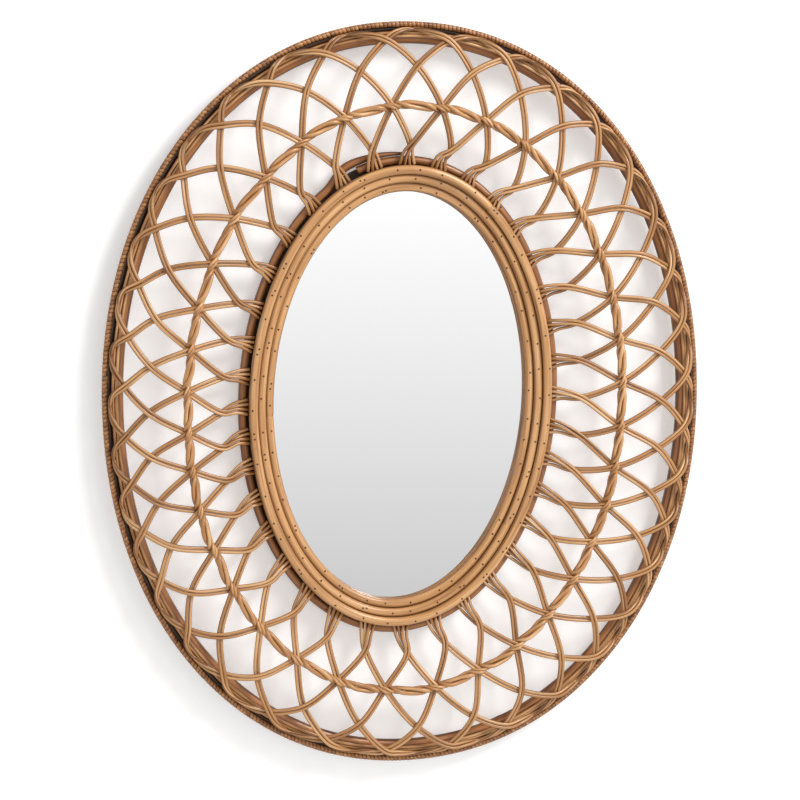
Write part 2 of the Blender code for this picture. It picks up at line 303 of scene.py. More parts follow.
class Bench:
    """Ways of working a piece that lies on the bench."""

    @staticmethod
    def pick(*pieces: bpy.types.Object) -> None:
        """Select these objects and nothing else, or nothing at all before a primitive is added.

        Args:
            *pieces: The objects, of which the first becomes the active one.
        """
        for thing in bpy.context.selected_objects:
            thing.select_set(False)
        for piece in reversed(pieces):
            piece.select_set(True)
            bpy.context.view_layer.objects.active = piece

    @staticmethod
    def named(name: str) -> bpy.types.Object:
        """Name the object that an operator has just made, and its mesh, and return it."""
        piece = bpy.context.object
        piece.name = piece.data.name = name
        return piece

    @staticmethod
    @contextmanager
    def editing(piece: bpy.types.Object) -> Iterator[None]:
        """Hold a piece in edit mode, with all of it selected at first.

        Args:
            piece: The piece.
        """
        Bench.pick(piece)
        bpy.ops.object.mode_set(mode="EDIT")
        bpy.ops.mesh.select_all(action="SELECT")
        yield
        bpy.ops.object.mode_set(mode="OBJECT")

    @staticmethod
    def face_out(piece: bpy.types.Object) -> None:
        """Turn all faces of a closed piece outwards."""
        with Bench.editing(piece):
            bpy.ops.mesh.normals_make_consistent(inside=False)

    @staticmethod
    def select(piece: bpy.types.Object, mode: str, test: Callable[[object], bool]) -> None:
        """Select the elements of a piece in edit mode that pass a test.

        Args:
            piece: The piece in edit mode.
            mode: VERT, EDGE or FACE.
            test: Says whether an element is selected.
        """
        bpy.ops.mesh.select_mode(type=mode)
        bpy.ops.mesh.select_all(action="DESELECT")
        builder = bmesh.from_edit_mesh(piece.data)
        for part in {"VERT": builder.verts, "EDGE": builder.edges, "FACE": builder.faces}[mode]:
            part.select_set(test(part))
        builder.select_flush_mode()
        bmesh.update_edit_mesh(piece.data)

    @staticmethod
    def rod(name: str, length: float, radius: float, sides: int, stations: tuple[int, ...],
            tip: float = 0.0) -> bpy.types.Object:
        """Make a straight round rod along +X from the origin.

        Args:
            name: The object's name.
            length: Length of the rod.
            radius: Radius of the rod.
            sides: Number of flat sides.
            stations: Cuts along the rod, made in rounds.
            tip: Width of the bevel at closed ends, or 0 for open ends.

        Returns:
            The rod.
        """
        Bench.pick()
        bpy.ops.mesh.primitive_cylinder_add(
            vertices=sides, radius=radius, depth=length, end_fill_type="NGON" if tip else "NOTHING",
            location=(length / 2, 0, 0), rotation=(0, math.pi / 2, 0))
        piece = Bench.named(name)
        bpy.ops.object.transform_apply(location=True, rotation=True, scale=True)
        if tip:
            with Bench.editing(piece):
                Bench.select(piece, "EDGE", lambda edge: abs(Bench.run(edge).x) < tip)
                bpy.ops.mesh.bevel(offset=tip, segments=2, affect="EDGES")
        least = 3 * tip + radius / 9
        for cuts in stations:
            with Bench.editing(piece):
                Bench.select(piece, "EDGE",
                             lambda edge: abs(Bench.run(edge).x) > max(least, 0.9 * Bench.run(edge).length))
                bpy.ops.mesh.subdivide(number_cuts=cuts)
        return piece

    @staticmethod
    def run(edge: bmesh.types.BMEdge) -> Vector:
        """Find the way from one end of an edge to the other."""
        return edge.verts[1].co - edge.verts[0].co

    @staticmethod
    def join(name: str, pieces: Sequence[bpy.types.Object]) -> bpy.types.Object:
        """Join pieces into one and name it."""
        Bench.pick(*pieces)
        bpy.ops.object.join()
        return Bench.named(name)

    @staticmethod
    def copy(piece: bpy.types.Object, name: str) -> bpy.types.Object:
        """Copy a piece with a mesh of its own.

        Args:
            piece: The piece.
            name: The copy's name.

        Returns:
            The copy.
        """
        twin = piece.copy()
        twin.data = piece.data.copy()
        twin.name = twin.data.name = name
        bpy.context.collection.objects.link(twin)
        return twin

    @staticmethod
    def shape(piece: bpy.types.Object, move: Callable[[Vector], Vector]) -> None:
        """Move every vertex of a piece by a rule."""
        for vertex in piece.data.vertices:
            vertex.co = move(vertex.co)

    @staticmethod
    def mark_grain(piece: bpy.types.Object, start: float) -> None:
        """Keep where each corner lies in the straight piece, for its finish to follow.

        Args:
            piece: The straight piece.
            start: Distance added along the piece, so that no two have the same grain.
        """
        reach = max(vertex.co.z for vertex in piece.data.vertices)
        places, crests = [], []
        for loop in piece.data.loops:
            place = piece.data.vertices[loop.vertex_index].co
            places += (place.x + start, place.y, place.z)
            crests.append(abs(place.z) / reach)
        Bench.keep_grain(piece, places, crests)

    @staticmethod
    def keep_grain(piece: bpy.types.Object, places: Sequence[float], crests: Sequence[float]) -> None:
        """Keep two values for each corner.

        Args:
            piece: The straight piece.
            places: Where the corners lie along, across and through it, one after the other.
            crests: How near each corner is to the piece's crest, 1 for on it and 0 for the flank, which sets
                how much painted shade the finish lays there.
        """
        kept = piece.data.attributes
        kept.new("grain", "FLOAT_VECTOR", "CORNER").data.foreach_set("vector", places)
        kept.new("crest", "FLOAT", "CORNER").data.foreach_set("value", crests)


class Graph:
    """A node tree whose nodes are added and linked in one call each."""

    def __init__(self, owner: bpy.types.Material | bpy.types.World, shader: str = "Principled BSDF") -> None:
        """Start from the shader that a new material or world has.

        Args:
            owner: The material or world.
            shader: The name of its shader's node.
        """
        self.owner = owner
        owner.use_nodes = True
        self.tree = owner.node_tree
        self.shader = self.tree.nodes[shader]

    def add(self, kind: str, settings: dict[str, object] | None = None, **sockets: object) -> bpy.types.Node:
        """Add a node.

        Args:
            kind: The node's type, without the leading ShaderNode.
            settings: Its properties.
            **sockets: Input values or output sockets to link, by socket name.

        Returns:
            The node.
        """
        node = self.tree.nodes.new(f"ShaderNode{kind}")
        for name, value in (settings or {}).items():
            setattr(node, name, value)
        self.feed(node, **sockets)
        return node

    def feed(self, node: bpy.types.Node, **sockets: object) -> None:
        """Set or link the inputs of a node, spaces in socket names written as underscores."""
        for name, value in sockets.items():
            self.give(node.inputs[name.replace("_", " ")], value)

    def give(self, socket: bpy.types.NodeSocket, value: object) -> None:
        """Link an output socket to an input, or set the input to a value.

        Args:
            socket: The input.
            value: The output socket or the value.
        """
        if isinstance(value, bpy.types.NodeSocket):
            self.tree.links.new(value, socket)
        else:
            socket.default_value = value

    def noise(self, place: bpy.types.NodeSocket, scale: Sequence[float],
              detail: float) -> bpy.types.NodeSocket:
        """Add a noise that is stretched along the grain.

        Args:
            place: The socket with the place in the piece.
            scale: Cycles per metre along and across.
            detail: Octaves of the noise.

        Returns:
            The noise's value.
        """
        stretched = self.add("Mapping", Vector=place, Scale=tuple(scale))
        return self.add("TexNoise", Vector=stretched.outputs[0], Scale=1.0, Detail=detail,
                        Roughness=0.6).outputs[0]

    def ramp(self, value: bpy.types.NodeSocket,
             stops: Sequence[tuple[float, Colour]]) -> bpy.types.NodeSocket:
        """Turn a value into a colour.

        Args:
            value: The value.
            stops: Places on the ramp, each with its colour.

        Returns:
            The colour.
        """
        node = self.add("ValToRGB", Fac=value)
        elements = node.color_ramp.elements
        while len(elements) < len(stops):
            elements.new(0.5)
        for element, (place, colour) in zip(elements, stops):
            element.position = place
            element.color = (*colour, 1.0)
        return node.outputs[0]

    def between(self, value: bpy.types.NodeSocket, low: float, high: float, start: float = 0.3,
                end: float = 0.7) -> bpy.types.NodeSocket:
        """Map a value from one range to another."""
        return self.add("MapRange", Value=value, From_Min=start, From_Max=end, To_Min=low,
                        To_Max=high).outputs[0]

    def math(self, operation: str, *values: object) -> bpy.types.NodeSocket:
        """Add a Math node.

        Args:
            operation: What it does.
            *values: Its inputs, each a value or an output socket.

        Returns:
            The result.
        """
        node = self.add("Math", {"operation": operation})
        for socket, value in zip(node.inputs, values):
            self.give(socket, value)
        return node.outputs[0]


@dataclass(frozen=True)
class RattanFinish:
    """Varnished rattan, with fibres along the piece, darker and paler stretches, and painted shade on its
    flanks and in its grooves.

    Args:
        finish: The finish's name.
        deep: Colour of the painted shade on the flanks and in the grooves.
        dark: Colour of the darkest fibres.
        middle: Colour of most of the surface.
        light: Colour of the palest stretches.
        drop: How far the painted shade lowers the tone from the crest to the flank.
        fibres: Cycles per metre of the fibres, along and twice across.
        fibre_share: Share of the fibres in the tone.
        stretches: Cycles per metre of the tone's changes, along and twice across.
        stretch_share: Share of the stretches in the tone.
        roughness: Least and most roughness.
        varnish: Weight of the clear coat.
        varnish_roughness: Roughness of the clear coat.
        relief: Height of the fibres.
    """

    finish: Finish
    deep: Colour
    dark: Colour
    middle: Colour
    light: Colour
    drop: float = 0.30
    fibres: tuple[float, float, float] = (14.0, 1300.0, 1300.0)
    fibre_share: float = 0.38
    stretches: tuple[float, float, float] = (7.0, 190.0, 190.0)
    stretch_share: float = 0.62
    roughness: tuple[float, float] = (0.28, 0.50)
    varnish: float = 0.40
    varnish_roughness: float = 0.16
    relief: float = 0.12 * MM

    def material(self) -> bpy.types.Material:
        """Build the finish's nodes.

        Returns:
            The material.
        """
        graph = Graph(bpy.data.materials.new(self.finish.value))
        grain = graph.add("Attribute", {"attribute_name": "grain"}).outputs["Vector"]
        crest = graph.add("Attribute", {"attribute_name": "crest"}).outputs["Fac"]
        fibre = graph.noise(grain, self.fibres, 3.0)
        stretch = graph.noise(grain, self.stretches, 2.0)
        tone = graph.math("MULTIPLY_ADD", stretch, self.stretch_share,
                          graph.math("MULTIPLY", fibre, self.fibre_share))
        # Painted shade: the tone falls from the crest towards the flanks and into the binding's grooves,
        # darkening them as shade would.
        tone = graph.math("ADD", tone, graph.between(crest, -self.drop, 0.0, start=0.0, end=0.8))
        colour = graph.ramp(tone, ((0.10, self.deep), (0.32, self.dark), (0.50, self.middle),
                                   (0.66, self.light)))
        graph.feed(graph.shader, Base_Color=colour, Coat_Weight=self.varnish,
                   Coat_Roughness=self.varnish_roughness, Roughness=graph.between(fibre, *self.roughness),
                   Normal=graph.add("Bump", Height=fibre, Strength=0.6, Distance=self.relief).outputs[0])
        return graph.owner


@dataclass(frozen=True)
class PlainFinish:
    """A plain finish with faint spots or grain, such as glass, plywood or steel.

    Args:
        finish: The finish's name.
        scale: Cycles per metre of the spots across, through and up.
        detail: Octaves of the spots.
        stops: The ramp from the spots to the colour, or one stop for an even colour.
        roughness: Least and most roughness.
        metallic: Metallic value.
        relief: Strength of the spots' bumps.
        relief_height: Height of the bumps.
    """

    finish: Finish
    scale: tuple[float, float, float]
    detail: float
    stops: tuple[tuple[float, Colour], ...]
    roughness: tuple[float, float]
    metallic: float = 0.0
    relief: float = 0.0
    relief_height: float = 0.1 * MM

    def material(self) -> bpy.types.Material:
        """Build the finish's nodes.

        Returns:
            The material.
        """
        graph = Graph(bpy.data.materials.new(self.finish.value))
        spots = graph.noise(graph.add("TexCoord").outputs["Object"], self.scale, self.detail)
        colour = graph.ramp(spots, self.stops) if len(self.stops) > 1 else (*self.stops[0][1], 1.0)
        graph.feed(graph.shader, Base_Color=colour, Metallic=self.metallic,
                   Roughness=graph.between(spots, *self.roughness))
        if self.relief:
            bump = graph.add("Bump", Height=spots, Strength=self.relief, Distance=self.relief_height)
            graph.feed(graph.shader, Normal=bump.outputs[0])
        return graph.owner


FINISHES = (
    RattanFinish(Finish.PALE, (0.115, 0.038, 0.010), (0.35, 0.150, 0.046), (0.66, 0.335, 0.128),
                 (0.86, 0.51, 0.235), drop=0.34),
    RattanFinish(Finish.BROWN, (0.045, 0.014, 0.004), (0.155, 0.052, 0.013), (0.38, 0.142, 0.039),
                 (0.57, 0.25, 0.078), drop=0.34),
    RattanFinish(Finish.CANE, (0.065, 0.020, 0.006), (0.25, 0.097, 0.027), (0.54, 0.258, 0.090),
                 (0.86, 0.54, 0.27), drop=0.28),
    RattanFinish(Finish.WRAPPING, (0.03, 0.010, 0.004), (0.16, 0.056, 0.016), (0.43, 0.178, 0.055),
                 (0.72, 0.37, 0.14)),
    # Painted shade: brown rattan darkened to near black for the rim's back rod, standing in for the shade in
    # the slit between the hoop and the pole.
    RattanFinish(Finish.SHADED, (0.016, 0.007, 0.004), (0.036, 0.016, 0.007), (0.068, 0.030, 0.013),
                 (0.10, 0.044, 0.018)),
    RattanFinish(Finish.BRAIDED, (0.10, 0.034, 0.010), (0.30, 0.122, 0.036), (0.60, 0.292, 0.108),
                 (0.86, 0.54, 0.27), drop=0.16),
    PlainFinish(Finish.MIRROR, (9.0, 9.0, 9.0), 2.0, ((0.0, (0.985, 0.985, 0.985)),), (0.01, 0.03),
                metallic=1.0),
    # Painted shade: the plywood is darkened to near black, so that where it shows between the rods it reads
    # as a shaded gap.
    PlainFinish(Finish.BOARD, (70.0, 70.0, 3.0), 4.0,
                ((0.30, (0.045, 0.028, 0.016)), (0.55, (0.085, 0.055, 0.033)), (0.75, (0.12, 0.08, 0.05))),
                (0.6, 0.8), relief=0.3),
    PlainFinish(Finish.STEEL, (700.0, 700.0, 700.0), 3.0,
                ((0.35, (0.42, 0.42, 0.43)), (0.6, (0.62, 0.62, 0.62))), (0.28, 0.45), metallic=1.0),
    PlainFinish(Finish.PIN_HEAD, (700.0, 700.0, 700.0), 3.0,
                ((0.35, (0.035, 0.015, 0.008)), (0.6, (0.10, 0.05, 0.025))), (0.4, 0.6), metallic=0.4),
)


@dataclass
class Assembly:
    """A group of pieces that are made and placed together.

    Args:
        materials: The material of each finish.
    """

    materials: dict[Finish, bpy.types.Material]
    chance: random.Random = field(init=False)

    def __post_init__(self) -> None:
        """Start the group's own row of random draws."""
        self.chance = random.Random(type(self).__name__)

    def build(self) -> None:
        """Make every piece of the group."""
        raise NotImplementedError

    def place(self, piece: bpy.types.Object, finish: Finish, *nodes: str, crease_deg: float = 50.0) -> None:
        """Stand a piece up against the wall plane and dress it.

        Args:
            piece: The piece on the bench.
            finish: Its finish.
            *nodes: The solids that it stands for.
            crease_deg: Least angle of an edge that stays sharp.
        """
        Bench.pick(piece)
        piece.rotation_euler = (math.pi / 2, 0.0, 0.0)
        piece.location = (0.0, 0.0, SIZES.centre_z)
        bpy.ops.object.transform_apply(location=True, rotation=True, scale=True)
        bpy.ops.object.shade_smooth_by_angle(angle=math.radians(crease_deg))
        piece.data.materials.clear()
        piece.data.materials.append(self.materials[finish])
        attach(piece, "root")
        if nodes:
            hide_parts(*nodes)
        LOG.info("%s: %d faces", piece.name, len(piece.data.polygons))


@dataclass(frozen=True)
class HoopSpec:
    """One round rod.

    Args:
        name: The piece's name.
        node: The solid that it stands for.
        finish: Its finish.
        oval: The line that it follows.
        out: Distance out from that line.
        depth: Depth of its middle out from the wall.
        radius: Its radius.
        knuckle: Length between its knuckles.
        joint_deg: Angle where its two ends meet.
    """

    name: str
    node: str
    finish: Finish
    oval: Oval
    out: float
    depth: float
    radius: float
    knuckle: float = 1.0
    joint_deg: float = 0.0


@dataclass
class Hoops(Assembly):
    """Round rods with the knuckles, the unevenness and the butt joint of real rattan."""

    sides: int = 14
    stations: tuple[int, ...] = (100, 3)
    route_points: int = 360
    uneven: float = 0.012
    uneven_per_metre: float = 60.0
    even_near_joint: float = 50 * MM
    knuckle_rise: float = 0.05
    knuckle_reach: float = 3 * MM
    joint_groove: float = 0.10
    joint_reach: float = 0.7 * MM

    def hoop(self, spec: HoopSpec) -> None:
        """Make one closed rod and place it.

        Args:
            spec: The rod's sizes and place.
        """
        route = self.ring(spec)
        length = route.length()

        def share(along: float, seed: float) -> float:
            """Find the share of the radius at a place along the rod."""
            from_joint = min(along, length - along)
            swell = self.unevenness(along, seed) * min(1.0, from_joint / self.even_near_joint)
            off = (along + seed) % spec.knuckle - spec.knuckle / 2
            swell += self.knuckle_rise * math.exp(-(off / self.knuckle_reach) ** 2)
            swell -= self.joint_groove * math.exp(-(from_joint / self.joint_reach) ** 2)
            return 1 + swell

        self.lay_rod(spec, route, share)

    def lay_rod(self, spec: HoopSpec, route: Route, share: Callable[[float, float], float],
                tip: float = 0.0) -> None:
        """Make a round rod of uneven thickness, lay it along a route and place it.

        Args:
            spec: The rod's names, finish and radius.
            route: The line of its middle.
            share: Finds the share of the radius at a place along the rod, for the rod's own seed.
            tip: Width of the bevel at its ends, or 0 for open ends.
        """
        piece = Bench.rod(spec.name, route.length(), spec.radius, self.sides, self.stations, tip)
        seed = self.chance.uniform(10, 90)

        def natural(place: Vector) -> Vector:
            """Set the rod's thickness at one place."""
            size = share(place.x, seed)
            return Vector((place.x, place.y * size, place.z * size))

        Bench.shape(piece, natural)
        Bench.mark_grain(piece, seed)
        route.lay(piece)
        self.place(piece, spec.finish, spec.node)

    def unevenness(self, along: float, seed: float) -> float:
        """Find how much thicker than its radius a rod has grown at a place along it."""
        return self.uneven * noise.noise(Vector((along * self.uneven_per_metre, seed, 0)))

    def ring(self, spec: HoopSpec) -> Route:
        """Find the closed line of a rod's middle, which starts and ends at its joint."""
        start = math.radians(spec.joint_deg)
        return Route([self.at(spec, start + FULL_TURN * step / self.route_points)
                      for step in range(self.route_points)], closed=True)

    @staticmethod
    def at(spec: HoopSpec, turn: float) -> Vector:
        """Find a point of the rod's middle line."""
        return Vector((*spec.oval.point(turn, spec.out), spec.depth))


@dataclass
class FrameRods(Hoops):
    """The three front rods with their pins, and the rod behind the arch feet."""

    joints_deg: tuple[float, ...] = (184.0, 322.0, 58.0)
    knuckle: float = 0.37
    knuckle_step: float = 0.06
    pin_radius: float = 1.25 * MM
    pin_rise: float = 0.25 * MM
    pin_sides: int = 10
    dome_inset: float = 0.45
    dome_rise: float = 0.35
    head_sunk: float = 1.6
    pins_per_rod: int = 42
    pin_spread: float = 0.25
    pin_lean_step_deg: float = 8.0
    pin_lean_spread_deg: float = 12.0
    paired_share: float = 0.15
    paired_turn: float = 0.025
    paired_lean_spread_deg: float = 15.0
    backing_pin_spread: float = 0.12
    backing_pin_lean_deg: float = 4.0
    splice_start_deg: float = 91.0
    splice_crossings: float = 1.5
    splice_easing: float = 0.2
    splice_tip: float = 2.2 / 5.6
    splice_bevel: float = 0.6 * MM
    backing_points: int = 320

    def build(self) -> None:
        """Make the rods and their pins."""
        for place, name in enumerate(("inner", "middle", "outer")):
            spec = HoopSpec(
                f"round_rod_{name}", f"front_rod_{name}", Finish.PALE, SIZES.opening,
                SIZES.front_rod_radius + place * SIZES.rod_step,
                SIZES.inner_rod_depth + place * SIZES.rod_rise,
                SIZES.front_rod_radius, self.knuckle + self.knuckle_step * place, self.joints_deg[place])
            self.hoop(spec)
            shares = [(number + self.chance.uniform(-self.pin_spread, self.pin_spread)) / self.pins_per_rod
                      for number in range(self.pins_per_rod)]
            self.pins(spec, f"pins_{name}", [self.even_turn(spec, share) for share in shares],
                      self.pin_lean_step_deg * (place - 1))
        behind = HoopSpec("backing_round_rod", "backing_rod", Finish.BROWN, SIZES.opening,
                          SIZES.backing_out, SIZES.backing_depth, SIZES.backing_rod_radius)
        self.backing(behind)
        spread = self.backing_pin_spread
        turns = [WEAVE.angle(number + 0.5 + self.chance.uniform(-spread, spread))
                 for number in range(2, SIZES.arch_count)]
        self.pins(behind, "pins_backing", turns, self.backing_pin_lean_deg)

    def pins(self, spec: HoopSpec, name: str, turns: Sequence[float], lean_deg: float) -> None:
        """Drive a row of pins into the front of a rod, a few of them in pairs.

        Args:
            spec: The rod.
            name: The piece's name.
            turns: The angles where they sit.
            lean_deg: How far off the rod's crest they sit.
        """
        single, paired = self.pin_lean_spread_deg, self.paired_lean_spread_deg
        seats = []
        for turn in turns:
            seats.append((turn, lean_deg + self.chance.uniform(-single, single)))
            if self.chance.random() < self.paired_share:
                seats.append((turn + self.paired_turn, lean_deg + self.chance.uniform(-paired, paired)))
        head = self.pin_head()
        heads = [self.pin(head, spec, *seat) for seat in seats]
        bpy.data.objects.remove(head)
        self.place(Bench.join(name, heads), Finish.PIN_HEAD)

    def even_turn(self, spec: HoopSpec, share: float) -> float:
        """Find the angle at a share of the way round a rod, measured along it.

        Args:
            spec: The rod.
            share: Share of the way round.

        Returns:
            The angle from the right, in radians.
        """
        count = self.route_points
        places = [self.at(spec, FULL_TURN * step / count) for step in range(count + 1)]
        run = [0.0]
        for low, high in zip(places, places[1:]):
            run.append(run[-1] + (high - low).length)
        step = next(number for number, length in enumerate(run) if length >= share % 1.0 * run[-1])
        return FULL_TURN * step / count

    def pin(self, head: bpy.types.Object, spec: HoopSpec, turn: float, lean_deg: float) -> bpy.types.Object:
        """Set a copy of the pin head on a rod.

        Args:
            head: The pin head.
            spec: The rod.
            turn: The angle round the rod's oval.
            lean_deg: How far off the rod's crest it sits.

        Returns:
            The copy.
        """
        place = self.at(spec, turn)
        outward = (self.at(replace(spec, out=spec.out + MM), turn) - place).normalized()
        lean = math.radians(lean_deg)
        normal = outward * math.sin(lean) + Vector((0, 0, 1)) * math.cos(lean)
        turned = Vector((0, 0, 1)).rotation_difference(normal).to_matrix().to_4x4()
        twin = Bench.copy(head, "pin")
        twin.data.transform(Matrix.Translation(place + normal * (spec.radius - self.pin_rise)) @ turned)
        return twin

    def pin_head(self) -> bpy.types.Object:
        """Model one pin head, a short stub with a domed top.

        Returns:
            The pin head, with its top just over the origin.
        """
        Bench.pick()
        bpy.ops.mesh.primitive_cylinder_add(vertices=self.pin_sides, radius=self.pin_radius,
                                            depth=2 * self.pin_radius)
        head = Bench.named("pin_head")
        with Bench.editing(head):
            Bench.select(head, "FACE", lambda face: face.normal.z > 0.9)
            bpy.ops.mesh.inset(thickness=self.dome_inset * self.pin_radius,
                               depth=self.dome_rise * self.pin_radius)
        down = Vector((0, 0, self.pin_radius - self.pin_rise * self.head_sunk))
        Bench.shape(head, lambda place: place - down)
        return head

    def backing(self, spec: HoopSpec) -> None:
        """Make the backing rod, whose tapered end lies outside its other end at the upper left.

        Args:
            spec: The rod.
        """
        crossings = SIZES.arch_count + self.splice_crossings
        points = []
        for number in range(self.backing_points):
            along = crossings * number / (self.backing_points - 1)
            beside = 1.0 - min(1.0, max(0.0, along - self.splice_crossings - self.splice_easing))
            beside = beside * beside * (3 - 2 * beside)
            aside = beside * (spec.radius + SIZES.gap + spec.radius * self.taper(along))
            turn = math.radians(self.splice_start_deg) + along * FULL_TURN / SIZES.arch_count
            points.append(self.at(replace(spec, out=spec.out + aside), turn))
        route = Route(points)
        per_metre = crossings / route.length()
        self.lay_rod(spec, route, tip=self.splice_bevel, share=lambda along, seed: (
            self.taper(along * per_metre) * (1 + self.unevenness(along, seed))))

    def taper(self, along: float) -> float:
        """Share of the rod's radius at a number of crossings from its thin end."""
        return self.splice_tip + (1 - self.splice_tip) * min(1.0, along / self.splice_crossings)


@dataclass(frozen=True)
class Stop:
    """One place that an arch passes.

    Args:
        from_middle: How many crossings from the arch's middle.
        oval: The ring that it passes there.
        out: Distance out from that ring.
        depth: Depth out from the wall.
        step: 1 over the cane that it crosses, -1 under it, 0 where there is none.
        slip_deg: How far the ring has slipped clockwise.
        turn_deg: How far the pair is turned on edge.
        beside: Distance on along the ring.
    """

    from_middle: float
    oval: Oval
    out: float
    depth: float
    step: int
    slip_deg: float = 0.0
    turn_deg: float = 0.0
    beside: float = 0.0


@dataclass(frozen=True)
class Weave:
    """The rings and angles of the lattice of arches."""

    first_crossing_deg: float = 95.7
    side_spread_deg: float = -6.6
    drift_deg: float = 1.07
    drift_phase_deg: float = -37.0
    braid_slip_deg: float = 0.48
    braid_slip_phase_deg: float = 24.0
    foot_from_opening: float = 69 * MM
    foot_wider: float = 3.5 * MM
    foot_shift: tuple[float, float] = (4 * MM, -5 * MM)
    near_rim_inset: float = 23 * MM
    near_rim_narrower: float = 2.3 * MM
    near_rim_shift: tuple[float, float] = (3 * MM, -2.5 * MM)
    near_rim_lean_deg: float = 1.3
    squareness: float = 2.06
    braid_share: float = 0.37
    middle_share: float = 0.757
    foot_depth: float = 30 * MM
    braid_depth: float = 41 * MM
    middle_depth: float = 45 * MM
    near_rim_depth: float = 42 * MM
    wander: float = 2.2 * MM
    wander_around: float = 9.0
    wander_per_metre: float = 900.0

    def angle(self, count: float, slip_deg: float = 0.0) -> float:
        """Find the angle of a crossing, counted from the top towards the left.

        Args:
            count: The crossing's number.
            slip_deg: How far its ring has slipped clockwise.

        Returns:
            The angle from the right, in radians.
        """
        even = math.radians(self.first_crossing_deg) + FULL_TURN * count / SIZES.arch_count
        spread = math.radians(self.side_spread_deg) * math.sin(2 * even)
        drift = math.radians(self.drift_deg) * math.sin(3 * even + math.radians(self.drift_phase_deg))
        slip = math.radians(slip_deg) * (1 + math.cos(even - math.radians(self.braid_slip_phase_deg)))
        return even + spread + drift - slip

    def ring(self, share: float) -> Oval:
        """Find a ring of crossings.

        Args:
            share: Share of the way from the foot crossings to those near the rim.

        Returns:
            The ring.
        """
        foot = SIZES.opening.grown(self.foot_from_opening, self.foot_wider).moved(self.foot_shift)
        near = SIZES.outline.grown(-self.near_rim_inset, -self.near_rim_narrower).moved(self.near_rim_shift)
        near = replace(near, lean_deg=self.near_rim_lean_deg)
        mixed = [low + (high - low) * share for low, high in zip(astuple(foot), astuple(near))]
        return replace(Oval(*mixed), squareness=self.squareness)

    def braid_place(self, along: float, out: float = 0.0) -> Vector:
        """Find a place of the braid at a number of crossings, out from its middle line."""
        flat = self.ring(self.braid_share).point(self.angle(along, self.braid_slip_deg), out)
        return flat + self.stray(along, self.braid_depth)

    def stray(self, crossing: float, depth: float) -> Vector:
        """Find how far the weaver's hand has let a crossing stray.

        Args:
            crossing: The crossing's number.
            depth: Its depth out from the wall.

        Returns:
            The shift on the bench, flat.
        """
        around = FULL_TURN * crossing / SIZES.arch_count
        shift = noise.noise_vector(Vector((math.cos(around) * self.wander_around,
                                           math.sin(around) * self.wander_around,
                                           depth * self.wander_per_metre)))
        return shift.xy * self.wander


WEAVE = Weave()


